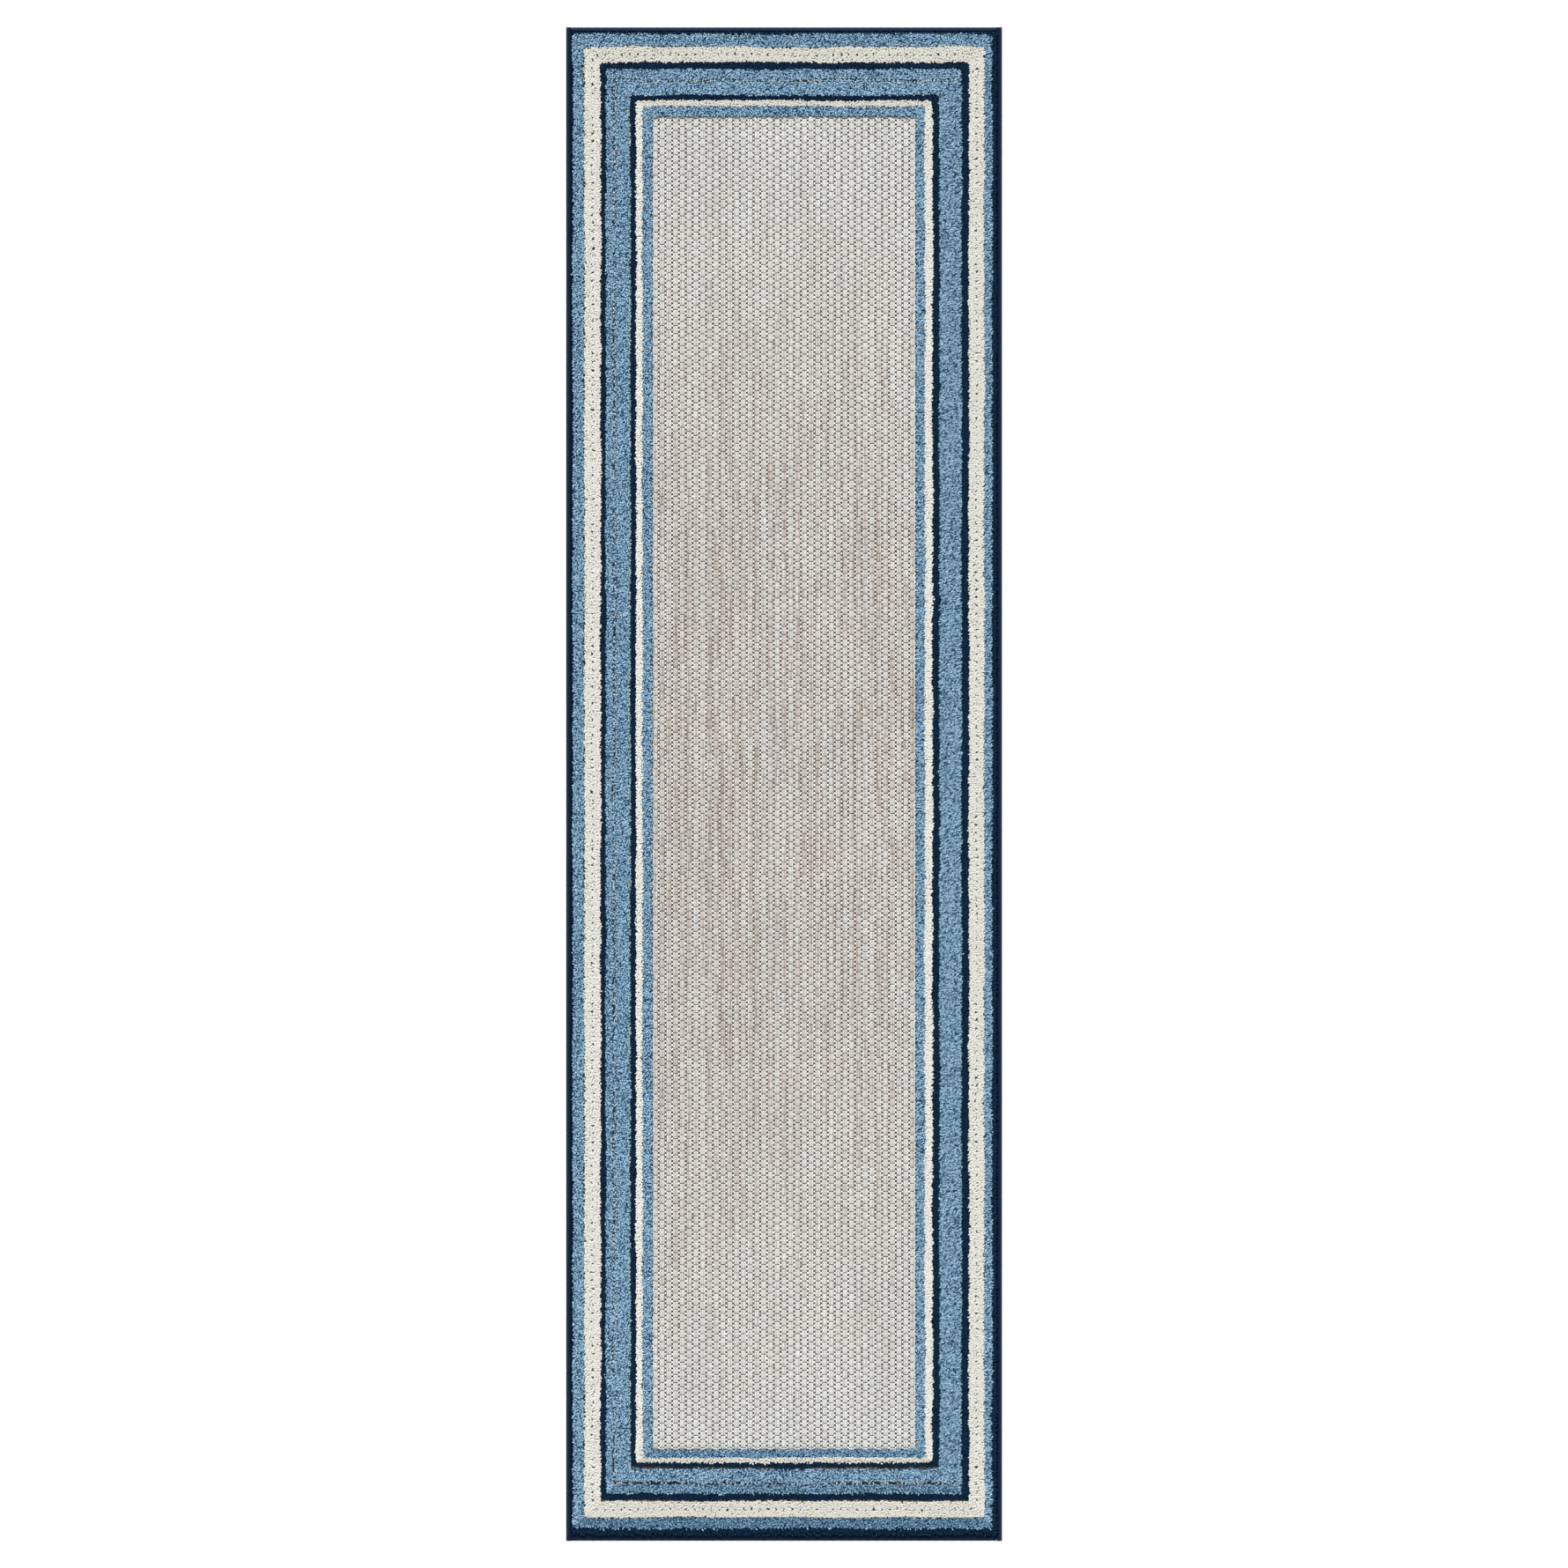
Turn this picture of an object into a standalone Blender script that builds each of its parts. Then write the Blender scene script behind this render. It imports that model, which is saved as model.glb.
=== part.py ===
"""Runner rug: a flat-woven field framed by bands of raised cut pile, with serged sides and bound ends.

Metres, +Z up, length along Y. The origin is the middle of the underside, which lies at z = 0.
"""

import math

import bmesh
import bpy

# Overall size
RUG_WIDTH = 0.660
RUG_LENGTH = 2.290

# Gap left between two pieces that touch
GAP = 0.0003

# Thickness of each layer of cloth, from the floor up
BACK_COAT = 0.0008
LOWER_WEFT = 0.0005
STUFFER_WARP = 0.0006
UPPER_WEFT = 0.0005
FIELD_WEFT = 0.0005
FIELD_FLOATS = 0.0008
PILE_HEIGHT = 0.0064

# Serged long sides: yarn wrapped round a filler cord and the edge of the ground cloth
SERGING_WIDTH = 0.0086
SERGING_WALL = 0.0007
FILLER_CORD = 0.0034
CORD_SETBACK = 0.0020

# Bound ends: tape folded round the cut edge of the ground cloth and sewn down
TAPE_WALL = 0.0007
TAPE_TOP_END = 0.0068
TAPE_BOTTOM_END = 0.0103
THREAD = 0.0006
THREAD_INSET = 0.0018
THREAD_SETBACK = 0.0020

# Pile bands from the edge in: yarn, width along the sides, and width across the top end and the bottom end
PILE_BANDS = {
    "navy_pile_edge": ("navy_yarn", 0.0037, 0.0034, 0.0090),
    "blue_pile_outer": ("blue_yarn", 0.0148, 0.0198, 0.0153),
    "cream_pile_wide": ("cream_yarn", 0.0242, 0.0232, 0.0251),
    "navy_pile_middle": ("navy_yarn", 0.0094, 0.0104, 0.0123),
    "blue_pile_wide_outer": ("blue_yarn", 0.0104, 0.0159, 0.0133),
    "blue_pile_wide_inner": ("blue_yarn", 0.0250, 0.0236, 0.0231),
    "navy_pile_inner": ("navy_yarn", 0.0092, 0.0080, 0.0105),
    "cream_pile_thin": ("cream_yarn", 0.0108, 0.0087, 0.0067),
    "blue_pile_inner": ("blue_yarn", 0.0140, 0.0153, 0.0120),
}
PILE_CORNER = 0.0012
PILE_SHOULDER = 0.0008

# Smoothness of round shapes
CORNER_STEPS = 3
FOLD_STEPS = 10
ROUND_RESOLUTION = 3

# Colour, roughness and metallic value of each material
MATERIALS = {
    "back_coat": ((0.560, 0.530, 0.470), 0.85, 0.0),
    "ground_yarn": ((0.300, 0.260, 0.200), 0.90, 0.0),
    "field_yarn": ((0.480, 0.470, 0.430), 0.80, 0.0),
    "navy_yarn": ((0.008, 0.025, 0.055), 0.85, 0.0),
    "blue_yarn": ((0.145, 0.270, 0.410), 0.85, 0.0),
    "cream_yarn": ((0.720, 0.700, 0.620), 0.85, 0.0),
    "edge_yarn": ((0.007, 0.016, 0.040), 0.65, 0.0),
    "binding_tape": ((0.008, 0.020, 0.048), 0.60, 0.0),
    "sewing_thread": ((0.010, 0.022, 0.050), 0.45, 0.0),
    "filler_cord": ((0.620, 0.580, 0.500), 0.80, 0.0),
}

# Heights worked out from the layers
GROUND_BOTTOM = max(BACK_COAT, SERGING_WALL, TAPE_WALL) + GAP
STUFFER_BOTTOM = GROUND_BOTTOM + LOWER_WEFT + GAP
UPPER_WEFT_BOTTOM = STUFFER_BOTTOM + STUFFER_WARP + GAP
FACE_BOTTOM = UPPER_WEFT_BOTTOM + UPPER_WEFT + GAP
FLOATS_BOTTOM = FACE_BOTTOM + FIELD_WEFT + GAP


def clear_scene():
    for thing in list(bpy.data.objects):
        bpy.data.objects.remove(thing, do_unlink=True)


def make_collection(name):
    collection = bpy.data.collections.new(name)
    bpy.context.scene.collection.children.link(collection)
    return collection


def make_material(name):
    colour, roughness, metallic = MATERIALS[name]
    material = bpy.data.materials.new(name)
    material.use_nodes = True
    shader = material.node_tree.nodes["Principled BSDF"]
    shader.inputs["Base Color"].default_value = (*colour, 1.0)
    shader.inputs["Roughness"].default_value = roughness
    shader.inputs["Metallic"].default_value = metallic
    material.diffuse_color = (*colour, 1.0)
    return material


def add_piece(name, data, material, location=(0.0, 0.0, 0.0), turn=0.0):
    """Puts a mesh or curve in the rug's collection as a named piece with its own copy of the material."""
    piece = bpy.data.objects.new(name, data)
    piece.location = location
    piece.rotation_euler = (0.0, 0.0, turn)
    data.materials.append(make_material(material))
    rug.objects.link(piece)
    return piece


# Outlines


def inset_rectangle(side, top, bottom):
    """Half width, lowest and highest y of the rectangle this far in from the rug's edges."""
    return RUG_WIDTH / 2 - side, -RUG_LENGTH / 2 + bottom, RUG_LENGTH / 2 - top


def rounded_rectangle(half_x, low_y, high_y, radius):
    """Points round a rectangle whose corners are arcs, anticlockwise from the lower right corner."""
    centres = (
        (half_x - radius, low_y + radius),
        (half_x - radius, high_y - radius),
        (radius - half_x, high_y - radius),
        (radius - half_x, low_y + radius),
    )
    points = []
    for corner, (x, y) in enumerate(centres):
        for step in range(CORNER_STEPS + 1):
            angle = math.radians(90 * (corner - 1 + step / CORNER_STEPS))
            points.append((x + radius * math.cos(angle), y + radius * math.sin(angle)))
    return points


def fold_outline(width, radius, lip_bottom, wall):
    """Middle line of a strip folded round an edge, as (inwards, up) points: lip, nose and upper lip."""
    nose = wall / 2 + radius
    lip = (width - nose, lip_bottom + wall / 2 - nose)
    reach = math.hypot(*lip)
    tangent = math.atan2(lip[1], lip[0]) + math.acos(radius / reach)
    sweep = 1.5 * math.pi - tangent
    points = [(width, wall / 2)]
    for step in range(FOLD_STEPS + 1):
        angle = 1.5 * math.pi - sweep * step / FOLD_STEPS
        points.append((nose + radius * math.cos(angle), nose + radius * math.sin(angle)))
    points.append((width, lip_bottom + wall / 2))
    return points


# Ways to make a piece


def make_sheet(name, material, half_x, low_y, high_y, bottom, thickness, corner=0.0):
    """A flat rectangular layer of cloth or coating, with its corners rounded to the radius given."""
    mesh = bpy.data.meshes.new(name)
    shape = bmesh.new()
    bmesh.ops.create_cube(shape, size=1.0)
    bmesh.ops.scale(shape, vec=(2 * half_x, high_y - low_y, thickness), verts=shape.verts)
    if corner:
        upright = [e for e in shape.edges if e.verts[0].co.xy == e.verts[1].co.xy]
        rounding = {"offset": corner, "segments": CORNER_STEPS, "profile": 0.5, "affect": "EDGES"}
        bmesh.ops.bevel(shape, geom=upright, **rounding)
    shape.to_mesh(mesh)
    shape.free()
    return add_piece(name, mesh, material, (0.0, (low_y + high_y) / 2, bottom + thickness / 2))


def add_outline(curve, points):
    spline = curve.splines.new("POLY")
    spline.points.add(len(points) - 1)
    for point, (x, y) in zip(spline.points, points):
        point.co = (x, y, 0.0, 1.0)
    spline.use_cyclic_u = True


def make_band(name, material, outer, inner):
    """A ring of pile between two rectangles, with softened shoulders."""
    narrowest = min(outer[0] - inner[0], inner[1] - outer[1], outer[2] - inner[2])
    curve = bpy.data.curves.new(name, "CURVE")
    curve.dimensions = "2D"
    curve.fill_mode = "BOTH"
    curve.extrude = PILE_HEIGHT / 2
    add_outline(curve, rounded_rectangle(*outer, PILE_CORNER))
    add_outline(curve, rounded_rectangle(*inner, PILE_CORNER))
    band = add_piece(name, curve, material, (0.0, 0.0, FACE_BOTTOM + PILE_HEIGHT / 2))
    weld = band.modifiers.new("close_caps", "WELD")
    weld.merge_threshold = 0.00001
    bevel = band.modifiers.new("shoulders", "BEVEL")
    bevel.width = min(PILE_SHOULDER, narrowest / 3)
    bevel.segments = 1
    bevel.limit_method = "ANGLE"
    bevel.angle_limit = math.radians(60)
    return band


def make_wrap(name, material, outline, wall, length, location, turn):
    """A strip of yarn or tape folded round an edge: its outline is drawn out, then given its wall."""
    mesh = bpy.data.meshes.new(name)
    shape = bmesh.new()
    corners = [shape.verts.new((inwards, -length / 2, up)) for inwards, up in outline]
    edges = [shape.edges.new(pair) for pair in zip(corners, corners[1:])]
    drawn = bmesh.ops.extrude_edge_only(shape, edges=edges)["geom"]
    moved = [part for part in drawn if isinstance(part, bmesh.types.BMVert)]
    bmesh.ops.translate(shape, vec=(0.0, length, 0.0), verts=moved)
    bmesh.ops.recalc_face_normals(shape, faces=shape.faces)
    shape.to_mesh(mesh)
    shape.free()
    wrap = add_piece(name, mesh, material, location, turn)
    solidify = wrap.modifiers.new("wall", "SOLIDIFY")
    solidify.thickness = wall
    solidify.offset = 0.0
    solidify.use_even_offset = True
    return wrap


def make_strand(name, material, diameter, start, end):
    """A straight round cord or thread with closed ends."""
    curve = bpy.data.curves.new(name, "CURVE")
    curve.dimensions = "3D"
    curve.bevel_depth = diameter / 2
    curve.bevel_resolution = ROUND_RESOLUTION
    curve.use_fill_caps = True
    spline = curve.splines.new("POLY")
    spline.points.add(1)
    spline.points[0].co = (*start, 1.0)
    spline.points[1].co = (*end, 1.0)
    return add_piece(name, curve, material)


# The rug, layer by layer


def make_back_coat():
    """Latex film that locks the tufts, trimmed where the serging and the tape go under the edge."""
    edges = inset_rectangle(SERGING_WIDTH + GAP, TAPE_TOP_END + GAP, TAPE_BOTTOM_END + GAP)
    make_sheet("latex_back_coat", "back_coat", *edges, 0.0, BACK_COAT)


def make_ground_cloth(tape_radius):
    """Two shots of weft with the straight stuffer yarns between them. Their edges go into the bindings."""
    side = SERGING_WALL + FILLER_CORD + 3 * GAP
    end = TAPE_WALL / 2 + tape_radius
    edges = inset_rectangle(side, end, end)
    make_sheet("ground_weft_lower", "ground_yarn", *edges, GROUND_BOTTOM, LOWER_WEFT)
    make_sheet("stuffer_warp", "ground_yarn", *edges, STUFFER_BOTTOM, STUFFER_WARP)
    make_sheet("ground_weft_upper", "ground_yarn", *edges, UPPER_WEFT_BOTTOM, UPPER_WEFT)


def make_pile_bands():
    """The rings of cut pile from the edge in. Returns how far in the last one stops on each side."""
    side, top, bottom = SERGING_WIDTH, TAPE_TOP_END, TAPE_BOTTOM_END
    for name, (yarn, side_width, top_width, bottom_width) in PILE_BANDS.items():
        outer = inset_rectangle(side + GAP / 2, top + GAP / 2, bottom + GAP / 2)
        side, top, bottom = side + side_width, top + top_width, bottom + bottom_width
        inner = inset_rectangle(side - GAP / 2, top - GAP / 2, bottom - GAP / 2)
        make_band(name, yarn, outer, inner)
    return side, top, bottom


def make_field(side, top, bottom):
    """The flat-woven middle: binding weft below, with the long warp floats that show lying over it."""
    edges = inset_rectangle(side + GAP / 2, top + GAP / 2, bottom + GAP / 2)
    make_sheet("field_binding_weft", "field_yarn", *edges, FACE_BOTTOM, FIELD_WEFT, PILE_CORNER)
    make_sheet("field_warp_floats", "field_yarn", *edges, FLOATS_BOTTOM, FIELD_FLOATS, PILE_CORNER)


def make_serged_side(word, sign):
    """A long side: filler cord beside the ground cloth, with the overcast yarn round both."""
    radius = FILLER_CORD / 2 + GAP + SERGING_WALL / 2
    outline = fold_outline(SERGING_WIDTH - GAP, radius, FACE_BOTTOM, SERGING_WALL)
    edge = sign * RUG_WIDTH / 2
    turn = math.pi if sign > 0 else 0.0
    make_wrap(f"serging_{word}", "edge_yarn", outline, SERGING_WALL, RUG_LENGTH, (edge, 0.0, 0.0), turn)
    x = edge - sign * (SERGING_WALL + GAP + FILLER_CORD / 2)
    z = SERGING_WALL + GAP + FILLER_CORD / 2
    y = RUG_LENGTH / 2 - CORD_SETBACK
    make_strand(f"filler_cord_{word}", "filler_cord", FILLER_CORD, (x, -y, z), (x, y, z))


def make_bound_end(word, sign, width, tape_radius):
    """A short end: tape folded round the cloth's cut edge, with its line of sewing thread on top."""
    outline = fold_outline(width - GAP, tape_radius, FACE_BOTTOM, TAPE_WALL)
    length = RUG_WIDTH - 2 * (SERGING_WIDTH + GAP)
    end = sign * RUG_LENGTH / 2
    turn = -sign * math.pi / 2
    make_wrap(f"binding_tape_{word}", "binding_tape", outline, TAPE_WALL, length, (0.0, end, 0.0), turn)
    x = length / 2 - THREAD_SETBACK
    y = end - sign * (width - THREAD_INSET)
    z = FACE_BOTTOM + TAPE_WALL + GAP + THREAD / 2
    make_strand(f"sewing_thread_{word}", "sewing_thread", THREAD, (-x, y, z), (x, y, z))


clear_scene()
rug = make_collection("runner_rug")
fold_radius = FACE_BOTTOM / 2
make_back_coat()
make_ground_cloth(fold_radius)
make_field(*make_pile_bands())
make_serged_side("left", -1)
make_serged_side("right", 1)
make_bound_end("top", 1, TAPE_TOP_END, fold_radius)
make_bound_end("bottom", -1, TAPE_BOTTOM_END, fold_radius)
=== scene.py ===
"""Runner rug: a ribbed ground cloth that carries tufted pile bands and a flat-woven field, with serged
sides and taped ends. Every piece takes its place from the rug's solid model. In metres, with +Z up and
the rug's length along Y."""

import math

import bpy
import numpy as np
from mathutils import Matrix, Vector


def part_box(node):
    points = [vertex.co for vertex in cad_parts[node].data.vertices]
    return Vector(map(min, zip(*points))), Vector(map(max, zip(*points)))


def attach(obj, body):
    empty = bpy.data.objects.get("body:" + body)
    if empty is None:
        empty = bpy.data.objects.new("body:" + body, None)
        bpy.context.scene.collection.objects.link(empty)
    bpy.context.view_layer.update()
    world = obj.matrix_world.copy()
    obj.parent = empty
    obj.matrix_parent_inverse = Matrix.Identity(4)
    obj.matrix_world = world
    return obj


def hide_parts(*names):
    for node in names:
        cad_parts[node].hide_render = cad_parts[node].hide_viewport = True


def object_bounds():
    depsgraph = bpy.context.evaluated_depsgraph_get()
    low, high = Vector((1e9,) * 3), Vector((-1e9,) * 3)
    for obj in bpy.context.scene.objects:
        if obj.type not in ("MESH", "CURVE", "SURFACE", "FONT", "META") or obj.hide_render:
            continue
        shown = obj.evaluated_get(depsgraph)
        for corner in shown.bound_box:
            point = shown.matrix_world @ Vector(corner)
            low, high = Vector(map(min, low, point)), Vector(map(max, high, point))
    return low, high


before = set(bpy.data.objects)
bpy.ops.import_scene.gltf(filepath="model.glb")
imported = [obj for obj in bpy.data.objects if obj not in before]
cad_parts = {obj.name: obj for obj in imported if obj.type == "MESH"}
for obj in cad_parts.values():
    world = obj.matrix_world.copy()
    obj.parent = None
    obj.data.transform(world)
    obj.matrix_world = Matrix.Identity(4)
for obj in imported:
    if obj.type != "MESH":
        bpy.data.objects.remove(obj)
cad_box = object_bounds()


# Camera, floor and light
# The rug lies flat on a pale studio floor and is seen from straight above through a long lens.
# Soft light from all round, with a broad lamp beyond the top end that picks out the pile.

VIEW_WIDTH = 2.3723
HEM_HEIGHT = 0.0025
LENS = 200.0
SENSOR = 36.0
SEEN_AS_FAR_AS = 200.0
FLOOR_SIZE = 80.0
FLOOR_SHADE = 0.92
FLOOR_GLOW = 0.55
ROOM_LIGHT = 0.55
LAMP_POWER = 3.4
LAMP_BREADTH = 14
LAMP_TURN = (-46, -14, 0)

camera_data = bpy.data.cameras.new("camera")
camera_data.lens = LENS
camera_data.sensor_width = SENSOR
camera_data.clip_end = SEEN_AS_FAR_AS
camera = bpy.data.objects.new("camera", camera_data)
camera.location = (0.0, 0.0, VIEW_WIDTH * LENS / SENSOR + HEM_HEIGHT)
bpy.context.scene.collection.objects.link(camera)
bpy.context.scene.camera = camera

bpy.ops.mesh.primitive_plane_add(size=FLOOR_SIZE)
floor = bpy.context.object
floor.name = "studio_floor"
floor_material = bpy.data.materials.new("studio_floor")
floor_material.use_nodes = True
floor_shader = floor_material.node_tree.nodes["Principled BSDF"]
floor_shader.inputs["Base Color"].default_value = (FLOOR_SHADE, FLOOR_SHADE, FLOOR_SHADE, 1.0)
floor_shader.inputs["Roughness"].default_value = 0.9
floor_shader.inputs["Emission Color"].default_value = (1.0, 1.0, 1.0, 1.0)
floor_shader.inputs["Emission Strength"].default_value = FLOOR_GLOW
floor.data.materials.append(floor_material)

world = bpy.data.worlds.new("studio")
world.use_nodes = True
background = world.node_tree.nodes["Background"]
background.inputs["Color"].default_value = (1.0, 1.0, 1.0, 1.0)
background.inputs["Strength"].default_value = ROOM_LIGHT
bpy.context.scene.world = world
bpy.context.scene.view_settings.view_transform = "Standard"

lamp_data = bpy.data.lights.new("key_light", "SUN")
lamp_data.energy = LAMP_POWER
lamp_data.angle = math.radians(LAMP_BREADTH)
lamp = bpy.data.objects.new("key_light", lamp_data)
lamp.rotation_euler = [math.radians(turn) for turn in LAMP_TURN]
bpy.context.scene.collection.objects.link(lamp)


# Back coat
# A thin film of latex brushed over the back to lock the tufts. It follows the rows of ground weft,
# so the underside has a low crosswise rib at every row.

WEFT_PITCH = 0.00307
BACK_RIB_DEPTH = 0.00025
RIB_FULLNESS = 0.7
RIB_STEPS = 4
ACROSS_STEPS = 3
RELIEF_STRENGTH = 0.6
LATEX_EVEN = 0.86
LATEX_CLOUD = 0.20
LATEX_ROWS = 0.14


class Wire:
    """A value inside a material: + - * and ** on it add the Math nodes that work the result out."""

    def __init__(self, finish, socket):
        self.finish = finish
        self.socket = socket

    def __add__(self, other):
        return self.finish.maths("ADD", self, other)

    def __sub__(self, other):
        return self.finish.maths("SUBTRACT", self, other)

    def __mul__(self, other):
        return self.finish.maths("MULTIPLY", self, other)

    def __pow__(self, other):
        return self.finish.maths("POWER", self, other)

    def __rsub__(self, other):
        return self.finish.maths("SUBTRACT", other, self)

    __radd__ = __add__
    __rmul__ = __mul__


class Finish:
    """A material being made up. Fixed values of its shader are given by name when it is started."""

    def __init__(self, name, **fixed):
        self.material = bpy.data.materials.new(name)
        self.material.use_nodes = True
        self.tree = self.material.node_tree
        self.shader = self.tree.nodes["Principled BSDF"]
        self.feed(self.shader, {name.replace("_", " "): value for name, value in fixed.items()})

    def feed(self, node, sockets):
        for key, value in sockets.items():
            if isinstance(value, Wire):
                self.tree.links.new(value.socket, node.inputs[key])
            else:
                node.inputs[key].default_value = value

    def add(self, kind, sockets, output=0, stops=(), **settings):
        """A node of this kind: its settings, then its ramp's stops, then its sockets' values or links."""
        node = self.tree.nodes.new("ShaderNode" + kind)
        for name, value in settings.items():
            setattr(node, name, value)
        if stops:
            ramp = node.color_ramp
            while len(ramp.elements) < len(stops):
                ramp.elements.new(1.0)
            for element, (place, colour) in zip(ramp.elements, stops):
                element.position = place
                element.color = (*colour, 1.0)
        self.feed(node, sockets)
        return Wire(self, node.outputs[output])

    def maths(self, operation, first, second):
        return self.add("Math", {0: first, 1: second}, operation=operation)

    def place(self, stretch=(1.0, 1.0, 1.0)):
        """The place on the piece in metres, stretched along each axis."""
        where = self.add("TexCoord", {}, output="Object")
        return self.add("VectorMath", {0: where, 1: stretch}, operation="MULTIPLY")

    def along(self, axis):
        """How far along one axis of the piece the place is."""
        return self.add("SeparateXYZ", {0: self.place()}, output=axis)

    def noise(self, scale, detail=2.0, stretch=(1.0, 1.0, 1.0)):
        vector = self.place(stretch)
        return self.add("TexNoise", {"Vector": vector, "Scale": scale, "Detail": detail}, output="Fac")

    def carried(self, name):
        """A number that the mesh carries at each of its points."""
        return self.add("Attribute", {}, output="Fac", attribute_name=name)

    def blend(self, factor, first, second, how="MIX"):
        colours = {0: factor, 6: first, 7: second}
        return self.add("Mix", colours, output=2, data_type="RGBA", blend_type=how)

    def grey(self, value):
        """A number as an even grey, for multiplying a colour."""
        return self.add("CombineColor", {0: value, 1: value, 2: value})

    def uneven(self, noise, share):
        """A tone about 1 that a noise varies by this share of it."""
        return 1 - share / 2 + share * noise

    def colour(self, value):
        self.feed(self.shader, {"Base Color": value})

    def relief(self, height, depth):
        sockets = {"Height": height, "Distance": depth, "Strength": RELIEF_STRENGTH}
        self.feed(self.shader, {"Normal": self.add("Bump", sockets, output="Normal")})


def make_mesh(name, points, faces, finish, replaced=(), slot=None, **carried):
    """A smooth-shaded piece riding on the rug's one body. faces holds one array for each face size."""
    mesh = bpy.data.meshes.new(name)
    sizes = np.concatenate([np.full(len(f), f.shape[1]) for f in faces])
    mesh.vertices.add(len(points))
    mesh.vertices.foreach_set("co", np.asarray(points, np.float32).ravel())
    mesh.loops.add(int(sizes.sum()))
    corners = np.concatenate([f.ravel() for f in faces])
    mesh.loops.foreach_set("vertex_index", corners.astype(np.int32))
    mesh.polygons.add(len(sizes))
    starts = np.concatenate([[0], np.cumsum(sizes)[:-1]])
    mesh.polygons.foreach_set("loop_start", starts.astype(np.int32))
    mesh.update(calc_edges=True)
    mesh.validate()
    mesh.shade_smooth()
    for key, values in carried.items():
        layer = mesh.attributes.new(key, "FLOAT", "POINT")
        layer.data.foreach_set("value", np.asarray(values, np.float32).ravel())
    mesh.materials.append(finish.material)
    piece = bpy.data.objects.new(name, mesh)
    bpy.context.scene.collection.objects.link(piece)
    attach(piece, "root")
    if replaced:
        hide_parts(*replaced)
    return piece


def points_at(x, y, z):
    """These places as a list of points. A value that is the same for all of them is given once."""
    return np.stack(np.broadcast_arrays(x, y, z), -1).reshape(-1, 3)


def make_slab(name, across, along, top, bottom, finish, **more):
    """A closed slab over a grid of places: top and bottom give the height at each (x, y)."""
    wide, long = len(across), len(along)
    x, y = np.meshgrid(across, along, indexing="ij")
    points = np.concatenate([points_at(x, y, top(x, y)), points_at(x, y, bottom(x, y))])
    index = np.arange(wide * long).reshape(wide, long)
    quads = [index[:-1, :-1], index[1:, :-1], index[1:, 1:], index[:-1, 1:]]
    above = np.stack(quads, -1).reshape(-1, 4)
    below = above[:, ::-1] + wide * long
    rim = np.concatenate([index[:-1, 0], index[-1, :-1], index[:0:-1, -1], index[0, :0:-1]])
    after = np.roll(rim, -1)
    wall = np.stack([rim + wide * long, after + wide * long, after, rim], -1)
    return make_mesh(name, points, [np.concatenate([above, below, wall])], finish, **more)


def rib(places, pitch):
    """Rounded ridges, from 0 in the valleys to 1 on the crests."""
    return np.abs(np.sin(math.pi * places / pitch)) ** RIB_FULLNESS


latex = Finish("latex_film", Roughness=0.75)
latex_cloud = latex.noise(9.0, 4.0)
latex_rows = latex.noise(420.0, 2.0, (0.25, 1.0, 1.0))
latex_tone = LATEX_EVEN + LATEX_CLOUD * latex_cloud + LATEX_ROWS * (latex_rows - 0.5)
latex.colour(latex.blend(1.0, (0.56, 0.52, 0.45, 1.0), latex.grey(latex_tone), "MULTIPLY"))
latex.relief(latex.noise(1500.0, 3.0), 0.0002)

low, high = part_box("latex_back_coat")
back_coat = make_slab(
    "back_coat_film",
    np.linspace(low.x, high.x, ACROSS_STEPS),
    np.arange(low.y, high.y, WEFT_PITCH / RIB_STEPS),
    lambda x, y: high.z,
    lambda x, y: BACK_RIB_DEPTH * (1 - rib(y, WEFT_PITCH)),
    latex,
    replaced=["latex_back_coat"],
    slot="back_coat",
)


# Ground cloth
# The one cloth that everything is woven into: straight stuffer yarns between two shots of weft, beaten up
# into close crosswise ribs. It shows as tan yarn at the bottom of the grooves between the pile bands.

GROUND_RIB_DEPTH = 0.0006
MARGIN_SIDE = 0.3165
MARGIN_TOP = 1.1335
MARGIN_BOTTOM = -1.1255

ground = Finish("ground_cloth", Roughness=0.9, Specular_IOR_Level=0.2)
ground_fleck = ground.noise(800.0, 3.0)
ground_tan = ground.blend(ground_fleck, (0.12, 0.10, 0.075, 1.0), (0.38, 0.335, 0.27, 1.0))
ground_x = ground.along("X")
ground_y = ground.along("Y")
# Past these margins the cloth is coloured dark navy, as painted shade in the gaps beside the serged sides
# and bound ends
past_side = ground.maths("GREATER_THAN", ground_x * ground_x, MARGIN_SIDE**2)
past_top = ground.maths("GREATER_THAN", ground_y, MARGIN_TOP)
past_bottom = ground.maths("LESS_THAN", ground_y, MARGIN_BOTTOM)
painted_shade_margin = ground.maths("MAXIMUM", past_side, ground.maths("MAXIMUM", past_top, past_bottom))
ground.colour(ground.blend(painted_shade_margin, ground_tan, (0.004, 0.009, 0.020, 1.0)))
ground.relief(ground.noise(2600.0, 2.0), 0.0002)

low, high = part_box("ground_weft_upper")
ground_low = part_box("ground_weft_lower")[0].z
ground_cloth = make_slab(
    "ground_cloth",
    np.linspace(low.x, high.x, ACROSS_STEPS),
    np.arange(low.y, high.y, WEFT_PITCH / RIB_STEPS),
    lambda x, y: high.z - GROUND_RIB_DEPTH * (1 - rib(y, WEFT_PITCH)),
    lambda x, y: ground_low,
    ground,
    replaced=["ground_weft_lower", "stuffer_warp", "ground_weft_upper"],
    slot="ground_yarn",
)


# Pile bands
# Rings of cut pile, one for each colour of the border. Each tuft is a short end of twisted yarn that stands
# in the ground cloth with its foot spread, opens at the top and lies over towards the rug's bottom end.

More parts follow.
